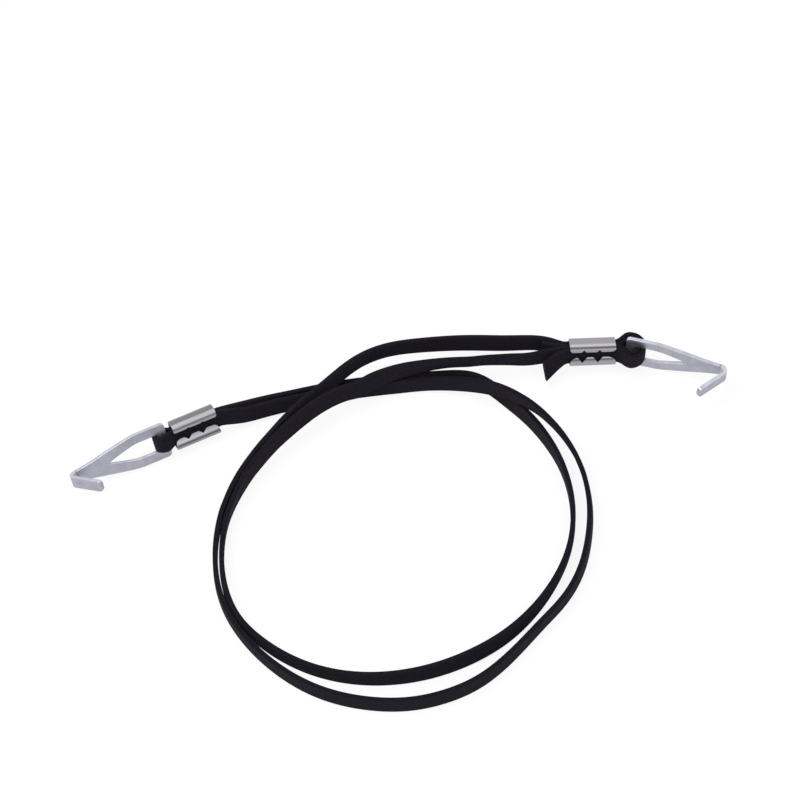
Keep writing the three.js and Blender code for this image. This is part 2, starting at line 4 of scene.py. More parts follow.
import bmesh
import bpy
from mathutils import Matrix, Vector
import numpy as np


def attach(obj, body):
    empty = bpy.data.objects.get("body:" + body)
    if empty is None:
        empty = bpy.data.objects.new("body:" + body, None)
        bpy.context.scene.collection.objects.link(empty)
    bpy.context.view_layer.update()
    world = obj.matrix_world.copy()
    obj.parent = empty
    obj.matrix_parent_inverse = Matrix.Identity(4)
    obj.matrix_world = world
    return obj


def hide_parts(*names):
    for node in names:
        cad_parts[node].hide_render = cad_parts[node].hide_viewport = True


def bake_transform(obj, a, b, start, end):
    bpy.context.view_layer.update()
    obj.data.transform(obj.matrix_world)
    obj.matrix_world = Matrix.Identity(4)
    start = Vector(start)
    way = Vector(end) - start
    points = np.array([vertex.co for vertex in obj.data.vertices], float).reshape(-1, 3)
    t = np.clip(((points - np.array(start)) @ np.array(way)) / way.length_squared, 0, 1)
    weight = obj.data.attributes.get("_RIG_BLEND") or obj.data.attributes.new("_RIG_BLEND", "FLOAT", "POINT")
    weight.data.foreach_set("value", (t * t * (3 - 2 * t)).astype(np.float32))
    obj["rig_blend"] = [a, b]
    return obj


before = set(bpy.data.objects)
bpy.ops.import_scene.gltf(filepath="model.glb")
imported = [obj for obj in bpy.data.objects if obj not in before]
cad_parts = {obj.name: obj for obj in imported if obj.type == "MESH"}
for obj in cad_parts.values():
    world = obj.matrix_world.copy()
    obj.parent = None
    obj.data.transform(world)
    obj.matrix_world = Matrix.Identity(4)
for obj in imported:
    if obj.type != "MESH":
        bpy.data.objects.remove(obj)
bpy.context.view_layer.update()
scene = bpy.context.scene
print("frame loaded:", len(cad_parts), "CAD nodes")

# Centre of the layout in the part's frame: the routes are measured from it, and the camera looks at it
layoutCentre = Vector((-0.00113, 0.06952, -0.00005))

photoCamera = {
    "elevation": 58,  # degrees above the horizon
    "distance": 1.3,
    "lens": 117,
    "sensor": 36,
    "nearest": 0.01,
    "furthest": 20,
}

strap = {
    "width": 0.0085,
    "thickness": 0.0025,
    "rightCrimped": 0.0018,  # thickness where four layers share the right ferrule
    "leftCrimped": 0.0022,  # and where two share the left one
    "ribs": 7,
    "pointsPerRib": 4,
    "grooveDepth": 0.00013,
    "edgeRound": 0.0006,
    "edgeSteps": 3,
    "ringSpacing": 0.0012,
    "eyeRingSpacing": 0.0005,
    "layerGap": 0.0003,
    "looseLayerGap": 0.0005,
    "lead": 0.003,  # straight run out of each ferrule
    "tailLead": 0.0015,
    "intoFerrule": 0.001,  # how deep inside the ferrule two stretches of strap meet
    "rightLeg": 0.074,  # the stretching legs, measured from the ferrules
    "leftLeg": 0.034,
    "seamMargin": 0.002,  # of each leg that stays with its neighbour, past the slant of the seam
    "pathSpacing": 0.004,  # of the points computed along a cord's path
}

threads = {
    "radius": 0.00036,  # round rubber thread, one in each rib
    "sides": 8,
    "spacing": 0.0012,
    "behind": 0.0001,  # the cut of the cover
}

tailCut = {
    "spare": 0.0035,  # strap beyond the source's square end, for the slanted cut
    "reach": 1.5,  # strap widths that the cut may touch
    "outerSlant": 29,  # degrees
    "innerSlant": 0,
    "wall": 0.00032,  # of the cover, seen at the cut
    "recess": 0.0004,
}

rightEnd = {
    "rearMouth": (0.08483, 0.02206, 0.0098),
    "heading": 2.5,
    "lean": -5,
    "hookSwing": -18,
    "overturned": False,
    "ferruleRoll": -15,
    "setback": 0.0077,
}
leftEnd = {
    "rearMouth": (-0.09097, -0.01647, 0.0094),
    "heading": 206.5,
    "lean": 28,
    "hookSwing": 0,
    "overturned": True,
    "ferruleRoll": 0,
    "setback": 0.0052,
}
ferruleLength = 0.023

# Degrees between two faces above which the edge stays sharp
sharpAbove = {"strap": 62, "threads": 50, "hook": 40}
cutTolerance = 1e-7
mergeTolerance = 1e-6
pickTolerance = 1e-5

# How the layers swell round the bars
eyes = {
    "barWidth": 0.0045,
    "barThickness": 0.002,
    "thickness": 0.0023,  # of the strap drawn tight round a bar
    "barClearance": 0.0007,
    "barEndClearance": 0.00035,
    "nestedGap": 0.0008,
    "nestedEndGap": 0.00035,
    "outerSwell": 0.0077,
    "innerSwell": 0.0064,
    "swellPoints": 6,
    "arcPoints": 9,
    # Of the way from the ferrule's rear mouth to where the layers part
    "ferruleShares": (0, 0.42, 0.72, 0.88, 0.955),
}

# Routes of the strap's middle from the right ferrule to the left one: x, y, z, then the lean of its upper
# edge to the left, in degrees
outerRunRoute = [
    (0.0766, 0.0265, 0.00887, -19), (0.0706, 0.0278, 0.00944, -16), (0.063, 0.0283, 0.00913, -18),
    (0.0515, 0.0279, 0.00922, -24), (0.039, 0.028, 0.00946, -25), (0.025, 0.0275, 0.00981, -20),
    (0.01, 0.0258, 0.01044, -14), (-0.0031, 0.0233, 0.01135, -11), (-0.0151, 0.0182, 0.01265, -10),
    (-0.0259, 0.0102, 0.01365, -11), (-0.0363, -0.0008, 0.01396, -17), (-0.0478, -0.012, 0.0136, -22),
    (-0.0567, -0.0216, 0.01242, -23), (-0.0618, -0.0276, 0.01121, -20), (-0.0667, -0.0332, 0.01017, -17),
    (-0.0717, -0.0397, 0.00881, -14), (-0.0763, -0.0461, 0.0072, -11), (-0.0797, -0.0518, 0.00614, -7),
    (-0.0827, -0.0578, 0.00522, -3), (-0.0848, -0.0636, 0.00474, 0), (-0.0867, -0.0694, 0.00448, 3),
    (-0.0886, -0.0827, 0.0044, 4), (-0.0883, -0.0973, 0.00439, 2), (-0.0858, -0.111, 0.00435, 0),
    (-0.0806, -0.124, 0.00437, -1), (-0.0719, -0.1368, 0.00435, 0), (-0.0604, -0.1485, 0.0044, 3),
    (-0.0461, -0.1587, 0.00442, 6), (-0.0301, -0.1656, 0.00445, 9), (-0.0125, -0.169, 0.00444, 11),
    (0.0052, -0.169, 0.00446, 12), (0.0226, -0.1646, 0.00445, 12), (0.0388, -0.1564, 0.00445, 11),
    (0.0538, -0.1426, 0.00444, 8), (0.0668, -0.1275, 0.00441, 4), (0.0781, -0.1146, 0.00441, 4),
    (0.0866, -0.0987, 0.00443, 8), (0.0909, -0.081, 0.00445, 8), (0.0923, -0.0632, 0.00444, 8),
    (0.0903, -0.0476, 0.00464, 11), (0.0883, -0.0411, 0.0053, 15), (0.0859, -0.0348, 0.00626, 18),
    (0.079, -0.0243, 0.0094, 17), (0.0705, -0.0161, 0.01252, 13), (0.0665, -0.0129, 0.01331, 10),
    (0.0624, -0.0098, 0.01363, 6), (0.0548, -0.0052, 0.01391, 2), (0.0505, -0.0031, 0.01336, -5),
    (0.0458, -0.001, 0.01256, -11), (0.0364, 0.0026, 0.00988, -13), (0.024, 0.0055, 0.00686, -14),
    (0.0115, 0.0064, 0.00514, -14), (-0.001, 0.0052, 0.00459, -15), (-0.0136, 0.0038, 0.00442, -16),
    (-0.0269, 0.0016, 0.00443, -16), (-0.0403, -0.0011, 0.00455, -16), (-0.0531, -0.0046, 0.00476, -19),
    (-0.0657, -0.0086, 0.00576, -22), (-0.0768, -0.0132, 0.00731, -25),
]
innerRunRoute = [
    (0.0765, 0.0203, 0.01013, -16), (0.072, 0.0197, 0.00972, -10), (0.0667, 0.0187, 0.00932, -5),
    (0.0613, 0.0181, 0.00938, -2), (0.055, 0.0179, 0.00974, 2), (0.0482, 0.0174, 0.01012, 7),
    (0.0414, 0.0167, 0.01071, 10), (0.0348, 0.0154, 0.0114, 9), (0.0286, 0.0144, 0.01261, 10),
    (0.0223, 0.0133, 0.01349, 8), (0.0158, 0.0122, 0.01372, 3), (0.0094, 0.0108, 0.01383, -4),
    (0.003, 0.0093, 0.01388, -11), (-0.0036, 0.0072, 0.01385, -17), (-0.0101, 0.0045, 0.01377, -23),
    (-0.0161, 0.0013, 0.01362, -28), (-0.0216, -0.0027, 0.01323, -32), (-0.0274, -0.0046, 0.01407, -31),
    (-0.0402, -0.012, 0.01416, -30), (-0.0523, -0.0227, 0.01312, -27), (-0.0581, -0.0284, 0.01212, -22),
    (-0.0637, -0.0343, 0.01092, -17), (-0.0728, -0.0461, 0.00845, -12), (-0.0764, -0.0524, 0.00701, -8),
    (-0.0796, -0.0588, 0.00572, -3), (-0.0841, -0.0719, 0.00472, 4), (-0.0856, -0.0873, 0.0044, 4),
    (-0.0846, -0.1021, 0.00439, 1), (-0.0807, -0.1164, 0.00434, -1), (-0.0738, -0.1285, 0.00437, -1),
    (-0.0625, -0.1392, 0.00435, 0), (-0.0485, -0.148, 0.00437, 1), (-0.0319, -0.154, 0.0044, 4),
    (-0.0135, -0.1562, 0.00445, 9), (0.0044, -0.1546, 0.00445, 15), (0.0206, -0.1502, 0.00443, 19),
    (0.036, -0.1432, 0.00443, 20), (0.0505, -0.1336, 0.00445, 16), (0.0631, -0.1209, 0.00445, 8),
    (0.0731, -0.1063, 0.00438, 2), (0.0802, -0.0905, 0.00437, 0), (0.0835, -0.0745, 0.00437, 2),
    (0.0834, -0.0584, 0.00441, 4), (0.0799, -0.0424, 0.00436, 3), (0.0737, -0.0283, 0.0044, -4),
    (0.0646, -0.0145, 0.00444, -11), (0.0545, -0.0041, 0.00444, -14), (0.0453, 0.0045, 0.00445, -16),
    (0.035, 0.0101, 0.00447, -16), (0.0223, 0.0104, 0.00444, -14), (0.0096, 0.0094, 0.00446, -14),
    (-0.0032, 0.0082, 0.00445, -15), (-0.0159, 0.0067, 0.00444, -16), (-0.0288, 0.0046, 0.00447, -16),
    (-0.0418, 0.0018, 0.00447, -16), (-0.0543, -0.0016, 0.00463, -19), (-0.0665, -0.0054, 0.00576, -22),
    (-0.0775, -0.0098, 0.00741, -25),
]
outerTailRoute = [
    (0.0808, 0.0182, 0.0106, -23), (0.0789, 0.0171, 0.0101, -28), (0.0771, 0.0159, 0.0095, -33),
    (0.0754, 0.0146, 0.0088, -38), (0.0738, 0.0133, 0.0081, -43), (0.0723, 0.012, 0.0075, -47),
]
innerTailRoute = [
    (0.079, 0.0231, 0.0095, -20), (0.075, 0.0236, 0.0098, -17), (0.0705, 0.0247, 0.0102, -14),
]


def makeCamera():
    camera = bpy.data.objects.new("photoCamera", bpy.data.cameras.new("photoCamera"))
    scene.collection.objects.link(camera)
    camera.data.sensor_width = photoCamera["sensor"]
    camera.data.lens = photoCamera["lens"]
    up = radians(photoCamera["elevation"])
    back = Vector((0, -cos(up), sin(up))) * photoCamera["distance"]
    camera.location = layoutCentre + back
    camera.rotation_euler = (pi / 2 - up, 0, 0)
    camera.data.clip_start = photoCamera["nearest"]
    camera.data.clip_end = photoCamera["furthest"]
    scene.camera = camera


makeCamera()
print("camera set")


# The strap's line: stations of a point, the way the width points there and the squeeze

def endPlace(end):
    return (
        Matrix.Translation(layoutCentre + Vector(end["rearMouth"]))
        @ Matrix.Rotation(radians(end["heading"]), 4, "Z")
        @ Matrix.Translation((end["setback"] + ferruleLength, 0, 0))
        @ Matrix.Rotation(radians(end["lean"]), 4, "X")
    )


def endStation(end, x, y, squeeze=1, roll=0):
    place = endPlace(end)
    turn = radians(roll)
    point = place @ Vector((x, y * cos(turn), y * sin(turn)))
    width = place.to_3x3() @ Vector((0, -sin(turn), cos(turn)))
    return point, width, squeeze


def routeStations(route):
    points = [layoutCentre + Vector(row[:3]) for row in route]
    stations = []
    for i, row in enumerate(route):
        along = (points[min(i + 1, len(points) - 1)] - points[max(i - 1, 0)]).normalized()
        left = Vector((0, 0, 1)).cross(along).normalized()
        up = along.cross(left)
        lean = radians(row[3])
        stations.append((points[i], up * cos(lean) + left * sin(lean), 1))
    return stations


# Uniform cubic blend of a row of values
def blendAt(values, place):
    last = len(values) - 1
    i = min(int(place), last - 1)
    f = place - i

    def value(k):
        if k < 0:
            return values[0] * 2 - values[1]
        if k > last:
            return values[last] * 2 - values[last - 1]
        return values[k]

    return (
        value(i - 1) * ((1 - f) ** 3 / 6)
        + value(i) * ((3 * f**3 - 6 * f**2 + 4) / 6)
        + value(i + 1) * ((-3 * f**3 + 3 * f**2 + 3 * f + 1) / 6)
        + value(i + 2) * (f**3 / 6)
    )


# A smooth line through the stations, measured along its length
class StrapLine:
    samplesPerStation = 12
    tangentReach = 0.01  # of a station, to each side

    def __init__(self, stations):
        raw = [station[0] for station in stations]
        self.points = [
            p if i < 2 or i > len(raw) - 3 else p - (raw[i - 1] + raw[i + 1] - p * 2) / 6
            for i, p in enumerate(raw)
        ]
        self.widths = [station[1] for station in stations]
        self.squeezes = [station[2] for station in stations]
        self.last = len(stations) - 1
        self.lengths = [0]
        before = self.points[0]
        for k in range(1, self.last * self.samplesPerStation + 1):
            here = blendAt(self.points, k / self.samplesPerStation)
            self.lengths.append(self.lengths[-1] + (here - before).length)
            before = here

    @property
    def length(self):
        return self.lengths[-1]

    def placeAt(self, length):
        length = min(max(length, 0), self.length)
        k = min(bisect_right(self.lengths, length), len(self.lengths) - 1) - 1
        step = self.lengths[k + 1] - self.lengths[k]
        return (k + (length - self.lengths[k]) / step) / self.samplesPerStation

    def centre(self, length):
        return blendAt(self.points, self.placeAt(length))

    def frame(self, length):
        place = self.placeAt(length)
        ahead = blendAt(self.points, min(place + self.tangentReach, self.last))
        behind = blendAt(self.points, max(place - self.tangentReach, 0))
        tangent = (ahead - behind).normalized()
        width = blendAt(self.widths, place)
        width = (width - tangent * width.dot(tangent)).normalized()
        through = width.cross(tangent) * blendAt(self.squeezes, place)
        return blendAt(self.points, place), through, width, tangent


# The flat elastic

def strapProfile():
    half = strap["width"] / 2
    flat = half - strap["edgeRound"]
    deep = strap["thickness"] / 2
    steps = strap["ribs"] * strap["pointsPerRib"]
    across = [-half + strap["width"] * i / steps for i in range(steps + 1)]

    def face(y):
        rib = (y + half) * strap["ribs"] / strap["width"]
        offRib = abs(rib - floor(rib) - 0.5) * 2
        return deep - strap["grooveDepth"] * offRib**2

    edge = []
    for i in range(strap["edgeSteps"] + 1):
        turn = pi / 2 * i / strap["edgeSteps"]
        edge.append((deep - strap["edgeRound"] * (1 - cos(turn)), flat + strap["edgeRound"] * sin(turn)))
    middle = [(face(y), y) for y in across if abs(y) < flat]
    front = [(x, -y) for x, y in reversed(edge)] + middle + edge
    return front + [(-x, -y) for x, y in front]


def threadProfile(across):
    turns = [2 * pi * i / threads["sides"] for i in range(threads["sides"])]
    return [(threads["radius"] * cos(a), across + threads["radius"] * sin(a)) for a in turns]


# Runs a closed profile along a strap's line, from one length to another
def sweepAlong(bm, profile, line, start, end, spacing):
    through = bm.verts.layers.float["through"]
    across = bm.verts.layers.float["across"]
    along = bm.verts.layers.float["along"]
    rings = max(2, ceil((end - start) / spacing))
    ring = bmesh.ops.create_circle(bm, segments=len(profile), radius=strap["width"])["verts"]
    edges = list({edge for vert in ring for edge in vert.link_edges})
    for vert, (x, y) in zip(ring, profile):
        vert[through] = x
        vert[across] = y
    for i in range(rings + 1):
        if i:
            made = bmesh.ops.extrude_edge_only(bm, edges=edges)["geom"]
            ring = [item for item in made if isinstance(item, bmesh.types.BMVert)]
            edges = [item for item in made if isinstance(item, bmesh.types.BMEdge) and item.is_boundary]
        length = start + (end - start) * i / rings
        centre, thick, wide, tangent = line.frame(length)
        for vert in ring:
            vert.co = centre + thick * vert[through] + wide * vert[across]
            vert[along] = length


def newStrapMesh():
    bm = bmesh.new()
    for name in ("through", "across", "along"):
        bm.verts.layers.float.new(name)
    return bm


# Cuts a sweep off across its line, at a slant in the strap's own plane
def cutTail(bm, line, length, slant, behind=0):
    along = bm.verts.layers.float["along"]
    centre, thick, wide, tangent = line.frame(length)
    slant = radians(slant)
    normal = tangent * cos(slant) + wide * sin(slant)
    near = {v for v in bm.verts if v[along] > length - tailCut["reach"] * strap["width"]}
    edges = [e for e in bm.edges if near.issuperset(e.verts)]
    faces = [f for f in bm.faces if near.issuperset(f.verts)]
    bmesh.ops.bisect_plane(
        bm,
        geom=list(near) + edges + faces,
        dist=cutTolerance,
        plane_co=centre - normal * behind,
        plane_no=normal,
        clear_outer=True,
    )


def closeEnds(bm):
    rims = [edge for edge in bm.edges if edge.is_boundary]
    return bmesh.ops.edgeloop_fill(bm, edges=rims)["faces"]


def finishPiece(bm, name, material, sharpAngle, uvScale=None):
    bmesh.ops.recalc_face_normals(bm, faces=bm.faces)
    if uvScale:
        across = bm.verts.layers.float["across"]
        along = bm.verts.layers.float["along"]
        uv = bm.loops.layers.uv.new("strapUV")
        for face in bm.faces:
            for corner in face.loops:
                corner[uv].uv = (
                    (corner.vert[across] + strap["width"] / 2) * uvScale,
                    corner.vert[along] * uvScale,
                )
    mesh = bpy.data.meshes.new(name)
    bm.to_mesh(mesh)
    bm.free()
    for spare in ("through", "across", "along"):
        if spare in mesh.attributes:
            mesh.attributes.remove(mesh.attributes[spare])
    mesh.shade_smooth()
    mesh.set_sharp_from_angle(angle=radians(sharpAngle))
    mesh.materials.append(material)
    piece = bpy.data.objects.new(name, mesh)
    scene.collection.objects.link(piece)
    return piece


def makeStrap(name, line, start, end, material, slant=None):
    bm = newStrapMesh()
    spacing = strap["eyeRingSpacing"] if "eye" in name else strap["ringSpacing"]
    sweepAlong(bm, strapProfile(), line, start, end, spacing)
    if slant is not None:
        cutTail(bm, line, end - tailCut["spare"], slant)
    caps = closeEnds(bm)
    if slant is not None:
        along = bm.verts.layers.float["along"]
        cut = max(caps, key=lambda face: sum(v[along] for v in face.verts) / len(face.verts))
        bmesh.ops.recalc_face_normals(bm, faces=bm.faces)
        bmesh.ops.inset_region(
            bm, faces=[cut], thickness=tailCut["wall"], depth=-tailCut["recess"], use_even_offset=False
        )
    return finishPiece(bm, name, material, sharpAbove["strap"], strap["ribs"] / strap["width"])


# The rubber threads inside a tail's ribs, which show at its cut
def makeThreads(name, line, start, end, material, slant):
    bm = newStrapMesh()
    ribWidth = strap["width"] / strap["ribs"]
    for rib in range(strap["ribs"]):
        middle = (rib + 0.5) * ribWidth - strap["width"] / 2
        sweepAlong(bm, threadProfile(middle), line, start, end, threads["spacing"])
    cutTail(bm, line, end - tailCut["spare"], slant, threads["behind"])
    closeEnds(bm)
    return finishPiece(bm, name, material, sharpAbove["threads"])


# Sizes of the layers at each end
barHalfDiagonal = hypot(eyes["barWidth"], eyes["barThickness"]) / 2
innerRadius = barHalfDiagonal + eyes["barClearance"] + eyes["thickness"] / 2
outerRadius = innerRadius + eyes["thickness"] + eyes["nestedGap"]
innerReach = barHalfDiagonal + eyes["barEndClearance"] + eyes["thickness"] / 2
outerReach = innerReach + eyes["thickness"] + eyes["nestedEndGap"]
tightness = eyes["thickness"] / strap["thickness"]
crimpSqueeze = strap["rightCrimped"] / strap["thickness"]
innerPitch = (strap["rightCrimped"] + strap["layerGap"]) / 2
outerPitch = innerPitch + strap["rightCrimped"] + strap["layerGap"]
leftPitch = (strap["leftCrimped"] + strap["looseLayerGap"]) / 2

outerEye = {
    "end": rightEnd, "swell": eyes["outerSwell"], "pitch": outerPitch, "radius": outerRadius,
    "reach": outerReach, "squeeze": crimpSqueeze, "side": 1,
}
innerEye = {
    "end": rightEnd, "swell": eyes["innerSwell"], "pitch": innerPitch, "radius": innerRadius,
    "reach": innerReach, "squeeze": crimpSqueeze, "side": -1,
}
foldEye = {
    "end": leftEnd, "swell": leftEnd["setback"], "pitch": leftPitch, "radius": innerRadius,
    "reach": innerReach, "squeeze": strap["leftCrimped"] / strap["thickness"], "side": 1,
}


def eyeApproach(eye, side):
    end = eye["end"]
    roll = end["ferruleRoll"]
    rear = end["setback"] + ferruleLength
    stations = []
    for share in eyes["ferruleShares"]:
        x = -rear + (rear - eye["swell"]) * share
        stations.append(endStation(end, x, side * eye["pitch"], eye["squeeze"], roll))
    for i in range(eyes["swellPoints"]):
        f = i / eyes["swellPoints"]
        rise = 3 * f**2 - 2 * f**3
        y = eye["pitch"] + (eye["radius"] - eye["pitch"]) * rise
        left = 1 - rise
        squeeze = tightness - (tightness - eye["squeeze"]) * left
        stations.append(endStation(end, -eye["swell"] * (1 - f), side * y, squeeze, roll * left))
    return stations


def eyeStations(eye):
    arc = []
    for i in range(eyes["arcPoints"] + 1):
        turn = pi * i / eyes["arcPoints"]
        y = eye["side"] * eye["radius"] * cos(turn)
        arc.append(endStation(eye["end"], eye["reach"] * sin(turn), y, tightness))
    return eyeApproach(eye, eye["side"]) + arc + eyeApproach(eye, -eye["side"])[::-1]


def leadStations(eye, side):
    end = eye["end"]
    mouth = -end["setback"] - ferruleLength
    outside = mouth - strap["layerGap"]
    places = (mouth + strap["intoFerrule"], outside, outside - strap["lead"])
    return [endStation(end, x, side * eye["pitch"], eye["squeeze"], end["ferruleRoll"]) for x in places]


def runLine(route, eye, leftSide):
    return StrapLine(
        leadStations(eye, eye["side"]) + routeStations(route) + leadStations(foldEye, leftSide)[::-1]
    )


def tailLine(eye, route):
    end = eye["end"]
    x = -end["setback"] - ferruleLength - strap["tailLead"]
    lead = endStation(end, x, -eye["side"] * eye["pitch"], eye["squeeze"], end["ferruleRoll"])
    stations = eyeStations(eye) + [lead] + routeStations(route)
    (before, _, _), (last, width, squeeze) = stations[-2:]
    spare = last + (last - before).normalized() * tailCut["spare"]
    return StrapLine(stations + [(spare, width, squeeze)])


# Materials

def newMaterial(name, colour, roughness, metallic=0):
    material = bpy.data.materials.new(name)
    material.use_nodes = True
    shader = material.node_tree.nodes["Principled BSDF"]
    shader.inputs["Base Color"].default_value = (*colour, 1)
    shader.inputs["Roughness"].default_value = roughness
    shader.inputs["Metallic"].default_value = metallic
    return material, material.node_tree, shader


def addNode(tree, kind, values=None, **settings):
    node = tree.nodes.new("ShaderNode" + kind)
    for key, setting in settings.items():
        setattr(node, key, setting)
    for socket, value in (values or {}).items():
        if isinstance(value, bpy.types.NodeSocket):
            tree.links.new(value, node.inputs[socket])
        else:
            node.inputs[socket].default_value = value
    return node


def addMath(tree, operation, first, second=0, third=0):
    return addNode(tree, "Math", {0: first, 1: second, 2: third}, operation=operation).outputs[0]


def addRamp(tree, factor, stops):
    ramp = addNode(tree, "ValToRGB", {0: factor})
    for i, (place, colour) in enumerate(stops):
        stop = ramp.color_ramp.elements[i] if i < 2 else ramp.color_ramp.elements.new(place)
        stop.position = place
        stop.color = (*colour, 1)
    return ramp.outputs[0]


def addBump(tree, shader, height, strength, distance):
    bump = addNode(tree, "Bump", {"Strength": strength, "Distance": distance, "Height": height})
    tree.links.new(bump.outputs[0], shader.inputs["Normal"])


weave = {
    # the grooves' colour, far darker than the yarn: painted shade
    "groove": (0.0028, 0.0023, 0.004),
    "yarn": (0.0135, 0.011, 0.0185),
    "loopsPerRib": 1.6,  # stitches along the strap in one rib's width
    "slope": 0.9,  # of the chevrons
    "yarnsPerRib": 4,
    "ribRise": 0.5,  # the ribs' and the stitches' share in the relief
    "stitchRise": 0.3,
    "wearPatches": 0.6,
    "colourSpan": (0.2, 0.95),  # where grooves end and yarn begins
    "roughness": 0.82,
    "specular": 0.07,
    "sheen": 0.03,
    "sheenRoughness": 0.5,
    "bump": 0.00012,
    "bumpStrength": 0.8,
}


def makeWovenCover():
    material, tree, shader = newMaterial("wovenCover", weave["yarn"], weave["roughness"])
    shader.inputs["Specular IOR Level"].default_value = weave["specular"]
    shader.inputs["Sheen Weight"].default_value = weave["sheen"]
    shader.inputs["Sheen Roughness"].default_value = weave["sheenRoughness"]
    uv = addNode(tree, "UVMap", uv_map="strapUV").outputs[0]
    acrossRibs, alongRibs, _ = addNode(tree, "SeparateXYZ", {0: uv}).outputs

    # 0 in a groove and 1 on a rib
    crown = addMath(tree, "MULTIPLY", addMath(tree, "PINGPONG", acrossRibs, 0.5), 2)
    rounded = addMath(tree, "SINE", addMath(tree, "MULTIPLY", crown, pi / 2))
    slope = addMath(tree, "MULTIPLY", crown, weave["slope"])
    chevron = addMath(tree, "MULTIPLY_ADD", alongRibs, weave["loopsPerRib"], slope)
    wave = addMath(tree, "SINE", addMath(tree, "MULTIPLY", chevron, 2 * pi))
    stitch = addMath(tree, "MULTIPLY_ADD", wave, 0.5, 0.5)
    yarnPlace = addMath(tree, "MULTIPLY_ADD", acrossRibs, weave["yarnsPerRib"], chevron)
    yarns = addMath(tree, "PINGPONG", yarnPlace, 0.5)
    knit = addMath(tree, "MULTIPLY_ADD", stitch, weave["stitchRise"], yarns)
    height = addMath(tree, "MULTIPLY_ADD", rounded, weave["ribRise"], knit)

    noise = addNode(tree, "TexNoise", {"Vector": uv, "Scale": weave["wearPatches"], "Detail": 3}).outputs[0]
    # Colour from random wear patches and from the relief: darker in the grooves and between stitches and
    # lighter on the rib crowns, which is painted shade
    wearAndGrooveShade = addMath(tree, "MULTIPLY_ADD", noise, 0.5, addMath(tree, "MULTIPLY", height, 0.5))
    colour = addRamp(tree, wearAndGrooveShade, list(zip(weave["colourSpan"], (weave["groove"], weave["yarn"]))))
    tree.links.new(colour, shader.inputs["Base Color"])
    addBump(tree, shader, height, weave["bumpStrength"], weave["bump"])
    return material


rubber = {
    "dark": (0.028, 0.024, 0.021),
    "light": (0.045, 0.039, 0.034),
    "colour": (0.035, 0.03, 0.026),
    "span": (0.3, 0.7),
    "specks": 2500,
    "roughness": 0.6,
}


def makeRubber():
    material, tree, shader = newMaterial("threadRubber", rubber["colour"], rubber["roughness"])
    place = addNode(tree, "TexCoord").outputs["Object"]
    noise = addNode(tree, "TexNoise", {"Vector": place, "Scale": rubber["specks"], "Detail": 2}).outputs[0]
    colour = addRamp(tree, noise, list(zip(rubber["span"], (rubber["dark"], rubber["light"]))))
    tree.links.new(colour, shader.inputs["Base Color"])
    return material


zinc = {
    "colour": (0.44, 0.446, 0.51),
    "dull": (0.365, 0.37, 0.43),
    # the sheared walls' colour, lighter than the faces: partly their finish, partly painted highlight
    "sheared": (0.54, 0.545, 0.61),
    "roughness": 0.42,
    "shearedRoughness": 0.52,
    "roughnessSpread": 0.12,
    "clouds": 240,
    "cloudDetail": 5,
    "cloudRoughness": 0.6,
    "cloudSpan": (0.32, 0.62),
    "grain": 3000,
    "shearedGrain": 6000,
    "grainDetail": 4,
    "bump": 0.00003,
    "bumpStrength": 0.25,
}


# Zinc plating: cloudy on the sheet's faces, scored where the sheet was sheared, and lighter there: partly
# the sheared finish, partly painted highlight on the edges
def makeZinc(name, bright, dull, roughness, grain):
    material, tree, shader = newMaterial(name, bright, roughness, 1)
    place = addNode(tree, "TexCoord").outputs["Object"]
    clouds = addNode(tree, "TexNoise", {
        "Vector": place, "Scale": zinc["clouds"], "Detail": zinc["cloudDetail"],
        "Roughness": zinc["cloudRoughness"],
    }).outputs[0]
    colour = addRamp(tree, clouds, list(zip(zinc["cloudSpan"], (dull, bright))))
    tree.links.new(colour, shader.inputs["Base Color"])
    fine = addNode(tree, "TexNoise", {
        "Vector": place, "Scale": grain, "Detail": zinc["grainDetail"],
    }).outputs[0]
    least = roughness - zinc["roughnessSpread"] / 2
    spread = addMath(tree, "MULTIPLY_ADD", fine, zinc["roughnessSpread"], least)
    tree.links.new(spread, shader.inputs["Roughness"])
    addBump(tree, shader, fine, zinc["bumpStrength"], zinc["bump"])
    return material


nickel = {
    "tint": (1, 0.975, 1.045),
    "streaks": 0.3,  # how much the drawing lines darken it
    "streakScale": (2.6, 0.08, 1),  # round the sheet, along it
    "streakDetail": 6,
    "streakRoughness": 0.7,
    "roughness": 0.24,
    "roughnessSpread": 0.2,
    "bump": 0.00003,
    "bumpStrength": 0.25,
}


